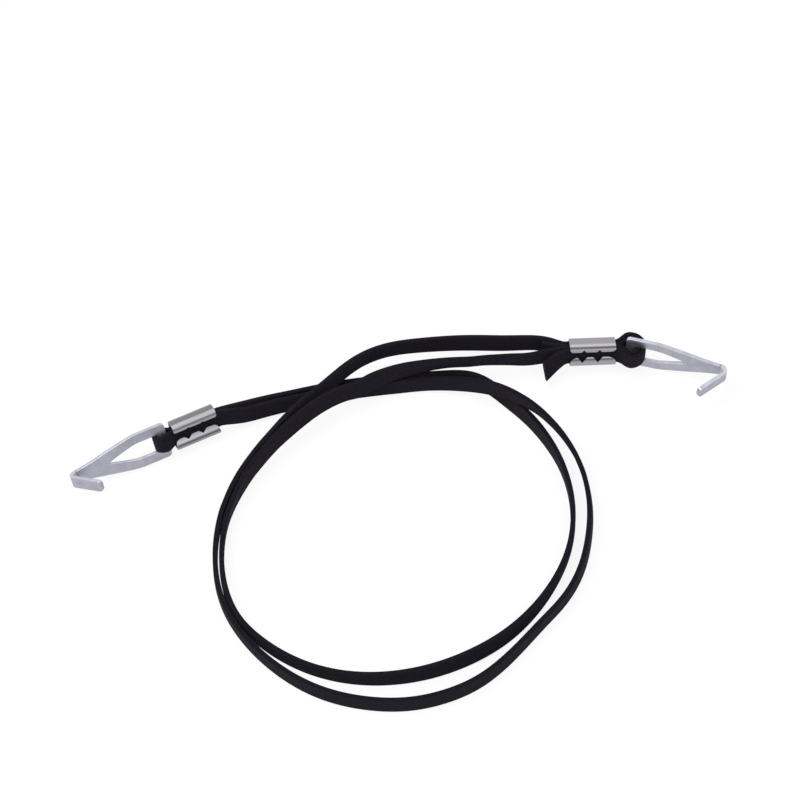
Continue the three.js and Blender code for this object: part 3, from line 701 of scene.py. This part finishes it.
# Bright plate with drawing lines along it, and lighter and darker stripes round the sheet: painted
# highlights on the lips and shoulders, painted shade in the creases.
# sheetUV is in millimetres: round the sheet, along it
def makeNickel(name, paintedLightBands, whole, metallic):
    material, tree, shader = newMaterial(name, nickel["tint"], nickel["roughness"], metallic)
    uv = addNode(tree, "UVMap", uv_map="sheetUV").outputs[0]
    roundSheet = addNode(tree, "SeparateXYZ", {0: uv}).outputs[0]
    stretched = addNode(tree, "Mapping", {"Vector": uv, "Scale": nickel["streakScale"]}).outputs[0]
    lines = addNode(tree, "TexNoise", {
        "Vector": stretched, "Scale": 1, "Detail": nickel["streakDetail"],
        "Roughness": nickel["streakRoughness"],
    }).outputs[0]
    # Each stop's brightness is painted light: a painted highlight or painted shade round the sheet
    stops = [(place / whole, tuple(light * tint for tint in nickel["tint"])) for place, light in paintedLightBands]
    paintedBand = addRamp(tree, addMath(tree, "DIVIDE", roundSheet, whole), stops)
    streak = addMath(tree, "MULTIPLY_ADD", lines, nickel["streaks"], 1 - nickel["streaks"] / 2)
    colour = addNode(tree, "VectorMath", {0: paintedBand, "Scale": streak}, operation="SCALE").outputs[0]
    tree.links.new(colour, shader.inputs["Base Color"])
    least = nickel["roughness"] - nickel["roughnessSpread"] / 2
    spread = addMath(tree, "MULTIPLY_ADD", lines, nickel["roughnessSpread"], least)
    tree.links.new(spread, shader.inputs["Roughness"])
    addBump(tree, shader, lines, nickel["bumpStrength"], nickel["bump"])
    return material


wovenCover = makeWovenCover()
threadRubber = makeRubber()
zincFace = makeZinc("zincFace", zinc["colour"], zinc["dull"], zinc["roughness"], zinc["grain"])
# The sheared walls' lighter colour is partly their own finish and partly painted highlight on the sheet's
# edges
zincShearedHighlit = makeZinc(
    "zincShearedHighlit", zinc["sheared"], zinc["colour"], zinc["shearedRoughness"], zinc["shearedGrain"]
)
print("materials made")

# The strap's pieces. Each run is three stretches, so that its two legs can stretch at the joints
outerLine = runLine(outerRunRoute, outerEye, foldEye["side"])
innerLine = runLine(innerRunRoute, innerEye, -foldEye["side"])
inside = strap["intoFerrule"] + strap["layerGap"]


def pathPoints(line, start, end):
    count = ceil((end - start) / strap["pathSpacing"])
    return [line.centre(start + (end - start) * i / count)[:] for i in range(count + 1)]


def makeRun(name, line):
    rightSeam = inside + strap["rightLeg"]
    leftSeam = line.length - inside - strap["leftLeg"]
    spans = {
        "right_leg": (0, rightSeam),
        "loop": (rightSeam, leftSeam),
        "left_leg": (leftSeam, line.length),
    }
    made = {}
    for stretch, (start, end) in spans.items():
        piece = makeStrap(f"{name}_{stretch}", line, start, end, wovenCover)
        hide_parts(f"{name}_{stretch}_cover", f"{name}_{stretch}_core")
        made[stretch] = piece
    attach(made["loop"], "loop")
    margin = strap["seamMargin"]
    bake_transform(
        made["right_leg"], "loop", "right_end",
        start=line.centre(rightSeam - margin), end=line.centre(inside + margin),
    )
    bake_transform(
        made["left_leg"], "loop", "left_end",
        start=line.centre(leftSeam + margin), end=line.centre(line.length - inside - margin),
    )
    return made, spans


outerRun, outerSpans = makeRun("outer_run", outerLine)
innerRun, innerSpans = makeRun("inner_run", innerLine)
print("runs made")


def makeRightEye(name, eye, route, slant):
    line = tailLine(eye, route)
    cover = makeStrap(name, line, strap["intoFerrule"], line.length, wovenCover, slant)
    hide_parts(f"{name}_cover")
    core = makeThreads(
        f"{name}_threads", line, 2 * strap["intoFerrule"], line.length, threadRubber, slant
    )
    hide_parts(f"{name}_core")
    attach(cover, "right_end")
    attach(core, "right_end")
    return [cover, core]


outerEyePieces = makeRightEye("outer_run_right_eye", outerEye, outerTailRoute, tailCut["outerSlant"])
innerEyePieces = makeRightEye("inner_run_right_eye", innerEye, innerTailRoute, tailCut["innerSlant"])

foldLine = StrapLine(eyeStations(foldEye))
foldEnds = strap["intoFerrule"], foldLine.length - strap["intoFerrule"]
leftEye = makeStrap("left_eye", foldLine, *foldEnds, wovenCover)
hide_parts("left_eye_cover", "left_eye_core")
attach(leftEye, "left_end")
print("eyes made")


def declareCord(spans, line, stretch):
    start, end = spans[stretch]
    path = pathPoints(line, start, end)


declareCord(outerSpans, outerLine, "right_leg")
declareCord(innerSpans, innerLine, "right_leg")
declareCord(outerSpans, outerLine, "loop")
declareCord(innerSpans, innerLine, "loop")


# Stamped hooks

hook = {
    "length": 0.0518,  # rear edge to the outside of the bend
    "halfWidth": 0.0095,
    "thickness": 0.002,
    "barWidth": 0.0045,
    "eyeHalfWidth": 0.0046,
    "eyeCorner": 0.0008,
    "rearCorner": 0.002,
    "flankShares": [(0.3, 1), (0.38, 0.94), (0.54, 0.76), (0.78, 0.46)],
    "eyeShares": [(0.3, 0.98), (0.4, 0.76), (0.5, 0.44), (0.59, 0.12)],
    "eyeApexShare": 0.615,
    "tongueWidth": 0.006,
    "tongueLength": 0.0164,
    "tongueTip": 0.0018,
    "tongueAngle": 53,
    "bendRadius": 0.0028,
    "curveSteps": 6,
    "frontSteps": 6,
    "bendSteps": 16,
    "cornerSegments": 5,
    "edgeRound": 0.00045,
    "edgeSegments": 3,
    "normalWeight": 60,
}


def smoothThrough(points, steps):
    chain = [points[0]] + points + [points[-1]]
    made = [points[0]]
    for p0, p1, p2, p3 in zip(chain, chain[1:], chain[2:], chain[3:]):
        for i in range(1, steps + 1):
            f = i / steps
            made.append(
                (p1 * 2 + (p2 - p0) * f + (p0 * 2 - p1 * 5 + p2 * 4 - p3) * f**2
                 + (p1 * 3 - p0 - p2 * 3 + p3) * f**3) / 2
            )
    return made


def alongChain(chain, share):
    place = share * (len(chain) - 1)
    i = min(int(place), len(chain) - 2)
    return chain[i].lerp(chain[i + 1], place - i)


# Extrudes a row of edges, and puts each new vertex at its own place
def extrudeTo(bm, edges, row, places):
    made = bmesh.ops.extrude_edge_only(bm, edges=edges)["geom"]
    for vert in (item for item in made if isinstance(item, bmesh.types.BMVert)):
        vert.co = places[vert[row]]
    return [item for item in made if isinstance(item, bmesh.types.BMEdge)]


throughSheet = Vector((0, 1, 0))
nearlyParallel = 0.99  # cosine


def runsAlong(edge, axis):
    line = edge.verts[1].co - edge.verts[0].co
    return abs(line.normalized().dot(axis)) > nearlyParallel


def isAt(value, target):
    return abs(value - target) < pickTolerance


def makeHook(name, end):
    bendStart = hook["length"] - hook["bendRadius"] - hook["thickness"] / 2
    halfTongue = hook["tongueWidth"] / 2
    flank = [Vector((a * hook["length"], 0, b * hook["halfWidth"])) for a, b in hook["flankShares"]]
    outer = smoothThrough(flank + [Vector((bendStart, 0, halfTongue))], hook["curveSteps"])
    side = [Vector((hook["barWidth"] + hook["eyeCorner"], 0, hook["eyeHalfWidth"]))]
    side += [Vector((a * hook["length"], 0, b * hook["eyeHalfWidth"])) for a, b in hook["eyeShares"]]
    apex = Vector((hook["eyeApexShare"] * hook["length"], 0, 0))
    beyond = Vector((side[-1].x, 0, -side[-1].z))
    inner = smoothThrough(side + [apex, beyond], hook["curveSteps"])[: -hook["curveSteps"]]
    steps = hook["frontSteps"]
    front = [apex.lerp(Vector((bendStart, 0, 0)), (i + 1) / steps) for i in range(steps)]
    innerRow = [Vector((hook["barWidth"], 0, 0)), Vector((hook["barWidth"], 0, hook["eyeHalfWidth"]))]
    innerRow += inner[1:] + front
    outerRow = [Vector((0, 0, 0)), Vector((0, 0, hook["halfWidth"]))]
    count = len(innerRow) - 2
    outerRow += [alongChain(outer, i / (count - 1)) for i in range(count)]

    bm = bmesh.new()
    row = bm.verts.layers.int.new("row")
    verts = [bm.verts.new(place) for place in outerRow]
    for i, vert in enumerate(verts):
        vert[row] = i
    edges = [bm.edges.new(pair) for pair in zip(verts, verts[1:])]
    extrudeTo(bm, edges, row, innerRow)
    bmesh.ops.mirror(bm, geom=bm.verts[:] + bm.edges[:] + bm.faces[:], axis="Z", merge_dist=mergeTolerance)
    bmesh.ops.remove_doubles(bm, verts=bm.verts, dist=mergeTolerance)
    bmesh.ops.translate(bm, verts=bm.verts, vec=(0, hook["thickness"] / 2, 0))
    sheet = bmesh.ops.extrude_face_region(bm, geom=bm.faces[:], use_keep_orig=True)["geom"]
    bmesh.ops.translate(
        bm, verts=[item for item in sheet if isinstance(item, bmesh.types.BMVert)],
        vec=(0, -hook["thickness"], 0),
    )
    bmesh.ops.recalc_face_normals(bm, faces=bm.faces)

    turn = pi - radians(hook["tongueAngle"])
    faces = [
        f for f in bm.faces
        if f.normal.x > nearlyParallel and f.calc_center_median().x > bendStart - pickTolerance
    ]
    bent = bmesh.ops.spin(
        bm, geom=faces, cent=(bendStart, -hook["bendRadius"], 0), axis=(0, 0, -1), angle=turn,
        steps=hook["bendSteps"],
    )["geom_last"]
    faces = [item for item in bent if isinstance(item, bmesh.types.BMFace)]
    tongue = bmesh.ops.extrude_face_region(bm, geom=faces)["geom"]
    tip = [item for item in tongue if isinstance(item, bmesh.types.BMVert)]
    reach = Vector((cos(turn), -sin(turn), 0)) * hook["tongueLength"]
    bmesh.ops.translate(bm, verts=tip, vec=reach)
    bmesh.ops.delete(bm, geom=[f for f in faces if f.is_valid], context="FACES_ONLY")

    # Corners in the sheet's own plane: the rear ones, those of the eye and those of the tongue's tip
    throughTongue = Vector((sin(turn), cos(turn), 0))
    through = [(edge, edge.verts[0].co) for edge in bm.edges if runsAlong(edge, throughSheet)]
    corners = {
        hook["rearCorner"]: [
            edge for edge, at in through
            if at.x < pickTolerance and abs(at.z) > hook["halfWidth"] - pickTolerance
        ],
        hook["eyeCorner"]: [
            edge for edge, at in through
            if isAt(at.x, hook["barWidth"]) and isAt(abs(at.z), hook["eyeHalfWidth"])
        ],
        hook["tongueTip"]: [
            edge for edge in bm.edges
            if runsAlong(edge, throughTongue) and set(edge.verts) <= set(tip)
            and abs(edge.verts[0].co.z) > halfTongue - pickTolerance
        ],
    }
    for radius, found in corners.items():
        bmesh.ops.bevel(
            bm, geom=found, offset=radius, segments=hook["cornerSegments"], profile=0.5, affect="EDGES",
            material=-1, clamp_overlap=False,
        )
    bmesh.ops.recalc_face_normals(bm, faces=bm.faces)

    # The sheared walls stand between the sheet's two faces
    walls = set()
    for face in bm.faces:
        if face.calc_center_median().x > bendStart - mergeTolerance:
            wall = abs(face.normal.z) > 0.5 or face.normal.dot(reach.normalized()) > 0.9
        else:
            wall = abs(face.normal.y) < 0.5
        face.material_index = 1 if wall else 0
        if wall:
            walls.add(face)
    rims = []
    for edge in bm.edges:
        if len(edge.link_faces) == 2:
            first, second = edge.link_faces
            if (first in walls) != (second in walls):
                rims.append(edge)
    bmesh.ops.bevel(
        bm, geom=rims, offset=hook["edgeRound"], segments=hook["edgeSegments"], profile=0.5,
        affect="EDGES", material=-1, clamp_overlap=True,
    )
    bmesh.ops.translate(bm, verts=bm.verts, vec=(-hook["barWidth"] / 2, 0, 0))
    place = (
        endPlace(end)
        @ Matrix.Rotation(radians(end["hookSwing"]), 4, "Z")
        @ Matrix.Rotation(pi if end["overturned"] else 0, 4, "X")
    )
    bmesh.ops.transform(bm, matrix=place, verts=bm.verts)
    piece = finishPiece(bm, name, zincFace, sharpAbove["hook"])
    piece.data.materials.append(zincShearedHighlit)
    smooth = piece.modifiers.new("evenFaces", "WEIGHTED_NORMAL")
    smooth.keep_sharp = True
    smooth.weight = hook["normalWeight"]
    return piece


for side, end in (("right", rightEnd), ("left", leftEnd)):
    plate = makeHook(f"{side}_hook_plated", end)
    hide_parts(f"{side}_hook")
    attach(plate, f"{side}_hook")
print("hooks made")


# Crimped ferrules: one sheet rolled round the strap, its lips notched

ferruleSheet = 0.0009
rightClearance = 0.0003  # between the sheet and the layers inside
leftClearance = 0.00065

rightFerrule = {
    "width": 0.0114,
    "depth": 2 * outerPitch + strap["rightCrimped"] + 2 * (ferruleSheet + rightClearance),
    "corner": 0.002,
    "seamHeight": 0.0016,
    "lowerLip": 0.0013,  # from the seam's middle
    "upperLip": 0.0018,
    "lowerNotch": (0.005, 0.0034, 0.0015),  # width, depth and shift to the rear
    "upperNotch": (0.0026, 0.0013, 0.0007),
    # Of the lip at the front and rear mouth: length and drop
    "lowerEnds": ((0.0045, 0.0035), (0.0045, 0.0035)),
    "upperEnds": ((0.003, 0.0018), (0.0014, 0.0014)),
    # Millimetres round the sheet's outside from the seam's middle, downwards first, and the brightness
    # painted into the plate's colour there: painted highlights and painted shade
    "paintedLightBands": [
        (1.5, 0.6),  # one lip of the seam, lighter: painted highlight
        (2.5, 0.1),  # crease beside it, darker: painted shade
        (4, 0.35),  # plain sheet, on past the far side
        (32.5, 0.35),
        (34.5, 0.65),  # shoulder, lighter: painted highlight
        (36, 0.1),  # crease beside the other lip, darker: painted shade
        (38, 0.35),  # that lip
    ],
    "metallic": 1,
}
# Turned over, because the left end's near side is the other one. Its plate is duller, so it is less of a
# mirror for the black strap
leftFerrule = {
    "width": 0.015,
    "depth": 2 * leftPitch + strap["leftCrimped"] + 2 * (ferruleSheet + leftClearance),
    "corner": 0.0026,
    "seamHeight": -0.0011,
    "lowerLip": 0.0021,
    "upperLip": 0.0021,
    "lowerNotch": (0.0024, 0.0005, -0.0001),
    "upperNotch": (0.0045, 0.0022, -0.0009),
    "lowerEnds": ((0.001, 0.0008), (0.0012, 0.0009)),
    "upperEnds": ((0.0035, 0.0022), (0.0032, 0.004)),
    "paintedLightBands": [
        (3, 0.4),  # one lip of the seam, lighter: painted highlight
        (4, 0.1),  # crease beside it, darker: painted shade
        (5.5, 0.4),  # shoulder, lighter: painted highlight
        (7.5, 0.15),  # face beyond it, darker: painted shade
        (10, 0.15),
        (12, 0.3),  # plain sheet, on past the far side
        (34.5, 0.3),
        (36, 0.1),  # crease beside the other lip
        (37.5, 0.75),  # that lip, lighter: painted highlight
        (39.5, 0.4),
    ],
    "metallic": 0.3,
}
ferruleShape = {
    "notchPitch": 0.0078,
    "notchCurve": 1.25,  # 1 is a straight V
    "columns": 58,
    "rows": 64,
    "lipShare": 0.3,  # of the rows and of the sheet, which follow a lip
    "rim": 0.00018,
    "rimSegments": 2,
    "rimAngle": 50,
}


# A point of the sheet's outside, at a length round it from the seam's middle, downwards first
def sheetPoint(ferrule, length):
    flatA = ferrule["width"] / 2 - ferrule["corner"]
    flatB = ferrule["depth"] / 2 - ferrule["corner"]
    radius = ferrule["corner"]
    a = ferrule["seamHeight"]
    b = -ferrule["depth"] / 2
    bends = [
        (a + flatA, (-1, 0), (-flatA, -flatB), 1.5 * pi),
        (2 * flatB, (0, 1), (-flatA, flatB), pi),
        (2 * flatA, (1, 0), (flatA, flatB), 0.5 * pi),
        (2 * flatB, (0, -1), (flatA, -flatB), 0),
        (flatA - a, (-1, 0), None, 0),
    ]
    arc = radius * pi / 2
    for straight, way, centre, angle in bends:
        if length <= straight or centre is None:
            return a + way[0] * length, b + way[1] * length
        length -= straight
        if length <= arc:
            at = angle - length / radius
            return centre[0] + radius * cos(at), centre[1] + radius * sin(at)
        length -= arc
        a = centre[0] + radius * cos(angle - pi / 2)
        b = centre[1] + radius * sin(angle - pi / 2)


def sheetLength(ferrule):
    flats = 2 * (ferrule["width"] + ferrule["depth"]) - 8 * ferrule["corner"]
    return flats + 2 * pi * ferrule["corner"]


def notchPlaces(notch):
    width, depth, shift = notch
    middle = ferruleLength / 2 + shift
    return middle - ferruleShape["notchPitch"] / 2, middle + ferruleShape["notchPitch"] / 2


# How far the lip stands back at a place along the ferrule, measured from its front mouth
def lipDrop(x, notch, ends):
    width, depth, shift = notch
    drop = 0
    for centre in notchPlaces(notch):
        off = abs(x - centre) / (width / 2)
        if off < 1:
            drop = max(drop, depth * (1 - off) ** ferruleShape["notchCurve"])
    for (reach, most), off in zip(ends, (x, ferruleLength - x)):
        if off < reach:
            drop = max(drop, most * (1 - sqrt(1 - (1 - off / reach) ** 2)))
    return drop


# The lengths round the sheet at which its rows lie: those near a lip follow it, the others stay
def rowLengths(lower, upper, whole):
    share = ferruleShape["lipShare"]
    first, second = share * whole, (1 - share) * whole
    lengths = []
    for i in range(ferruleShape["rows"] + 1):
        place = i / ferruleShape["rows"]
        if place < share:
            lengths.append(lower + (first - lower) * place / share)
        elif place > 1 - share:
            lengths.append(second + (upper - second) * (place - 1 + share) / share)
        else:
            lengths.append(first + (second - first) * (place - share) / (1 - 2 * share))
    return lengths


def makeFerrule(name, ferrule, end, material):
    whole = sheetLength(ferrule)
    count = ferruleShape["columns"]
    evenly = {ferruleLength * i / count for i in range(count + 1)}
    atNotches = set(notchPlaces(ferrule["lowerNotch"]) + notchPlaces(ferrule["upperNotch"]))
    bm = bmesh.new()
    row = bm.verts.layers.int.new("row")
    uvPlaces = {}
    verts = [bm.verts.new() for i in range(ferruleShape["rows"] + 1)]
    for i, vert in enumerate(verts):
        vert[row] = i
    edges = [bm.edges.new(pair) for pair in zip(verts, verts[1:])]
    for k, x in enumerate(sorted(evenly | atNotches)):
        if k:
            made = bmesh.ops.extrude_edge_only(bm, edges=edges)["geom"]
            verts = [item for item in made if isinstance(item, bmesh.types.BMVert)]
            ring = set(verts)
            edges = [
                item for item in made
                if isinstance(item, bmesh.types.BMEdge) and ring.issuperset(item.verts)
            ]
        lower = ferrule["lowerLip"] + lipDrop(x, ferrule["lowerNotch"], ferrule["lowerEnds"])
        upper = whole - ferrule["upperLip"] - lipDrop(x, ferrule["upperNotch"], ferrule["upperEnds"])
        lengths = rowLengths(lower, upper, whole)
        for vert in verts:
            length = lengths[vert[row]]
            a, b = sheetPoint(ferrule, length)
            vert.co = (-end["setback"] - x, b, a)
            uvPlaces[vert] = (length * 1000, x * 1000)
    uv = bm.loops.layers.uv.new("sheetUV")
    for face in bm.faces:
        for corner in face.loops:
            corner[uv].uv = uvPlaces[corner.vert]
    bmesh.ops.recalc_face_normals(bm, faces=bm.faces)
    outwards = sum(face.normal.dot(face.calc_center_median() * Vector((0, 1, 1))) for face in bm.faces)
    if outwards < 0:
        bmesh.ops.reverse_faces(bm, faces=bm.faces)
    roll = radians(end["ferruleRoll"]) + (pi if end["overturned"] else 0)
    place = endPlace(end) @ Matrix.Rotation(roll, 4, "X")
    bmesh.ops.transform(bm, matrix=place, verts=bm.verts)
    mesh = bpy.data.meshes.new(name)
    bm.to_mesh(mesh)
    bm.free()
    mesh.shade_smooth()
    mesh.materials.append(material)
    piece = bpy.data.objects.new(name, mesh)
    scene.collection.objects.link(piece)
    wall = piece.modifiers.new("sheet", "SOLIDIFY")
    wall.thickness = ferruleSheet
    wall.offset = -1
    wall.use_even_offset = True
    rim = piece.modifiers.new("rim", "BEVEL")
    rim.width = ferruleShape["rim"]
    rim.segments = ferruleShape["rimSegments"]
    rim.limit_method = "ANGLE"
    rim.angle_limit = radians(ferruleShape["rimAngle"])
    smooth = piece.modifiers.new("evenFaces", "WEIGHTED_NORMAL")
    smooth.keep_sharp = True
    return piece


for side, ferrule, end in (("right", rightFerrule, rightEnd), ("left", leftFerrule, leftEnd)):
    whole = sheetLength(ferrule) * 1000
    material = makeNickel(f"{side}Nickel", ferrule["paintedLightBands"], whole, ferrule["metallic"])
    sleeve = makeFerrule(f"{side}_ferrule_crimped", ferrule, end, material)
    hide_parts(f"{side}_ferrule")
    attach(sleeve, f"{side}_end")
print("ferrules made")


# Floor, light and backdrop

studio = {
    "floorSize": 4,  # metres to each side
    "floorColour": 0.9,
    "floorRoughness": 0.9,
    "floorWhite": 0.88,  # how much of the floor the camera sees as plain white
    "worldLight": 0.55,
    "keyPower": 9,
    "keySize": 0.8,
    "keyPlace": (-0.45, 0.1, 0.95),
    "fillPower": 3.5,
    "fillSize": 0.9,
    "fillPlace": (0.6, -0.5, 0.8),
}


# 1 where the camera, a reflection or a view through glass meets the surface
def seenRays(tree):
    path = addNode(tree, "LightPath").outputs
    direct = addMath(tree, "MAXIMUM", path["Is Camera Ray"], path["Is Glossy Ray"])
    return addMath(tree, "MAXIMUM", direct, path["Is Transmission Ray"])


def makeFloor():
    bm = bmesh.new()
    bmesh.ops.create_grid(bm, x_segments=1, y_segments=1, size=studio["floorSize"])
    mesh = bpy.data.meshes.new("floor")
    bm.to_mesh(mesh)
    bm.free()
    plane = bpy.data.objects.new("floor", mesh)
    scene.collection.objects.link(plane)
    material, tree, shader = newMaterial(
        "floorPaper", (studio["floorColour"],) * 3, studio["floorRoughness"]
    )
    shader.inputs["Specular IOR Level"].default_value = 0
    white = addNode(tree, "Emission", {"Strength": 1})
    share = addMath(tree, "MULTIPLY", seenRays(tree), studio["floorWhite"])
    mixed = addNode(tree, "MixShader", {0: share})
    tree.links.new(shader.outputs[0], mixed.inputs[1])
    tree.links.new(white.outputs[0], mixed.inputs[2])
    tree.links.new(mixed.outputs[0], tree.nodes["Material Output"].inputs[0])
    mesh.materials.append(material)


def makeWorld():
    world = bpy.data.worlds.new("studioWhite")
    world.use_nodes = True
    scene.world = world
    tree = world.node_tree
    unseen = studio["worldLight"]
    strength = addMath(tree, "MULTIPLY_ADD", seenRays(tree), 1 - unseen, unseen)
    background = tree.nodes["Background"]
    background.inputs["Color"].default_value = (1, 1, 1, 1)
    tree.links.new(strength, background.inputs["Strength"])


def makeLamp(name, power, size, place):
    lamp = bpy.data.objects.new(name, bpy.data.lights.new(name, "AREA"))
    scene.collection.objects.link(lamp)
    lamp.data.energy = power
    lamp.data.size = size
    lamp.location = place
    lamp.rotation_euler = (-Vector(place)).to_track_quat("-Z", "Y").to_euler()


makeFloor()
makeWorld()
makeLamp("keyLight", studio["keyPower"], studio["keySize"], studio["keyPlace"])
makeLamp("fillLight", studio["fillPower"], studio["fillSize"], studio["fillPlace"])
scene.view_settings.view_transform = "Standard"
print("studio made")
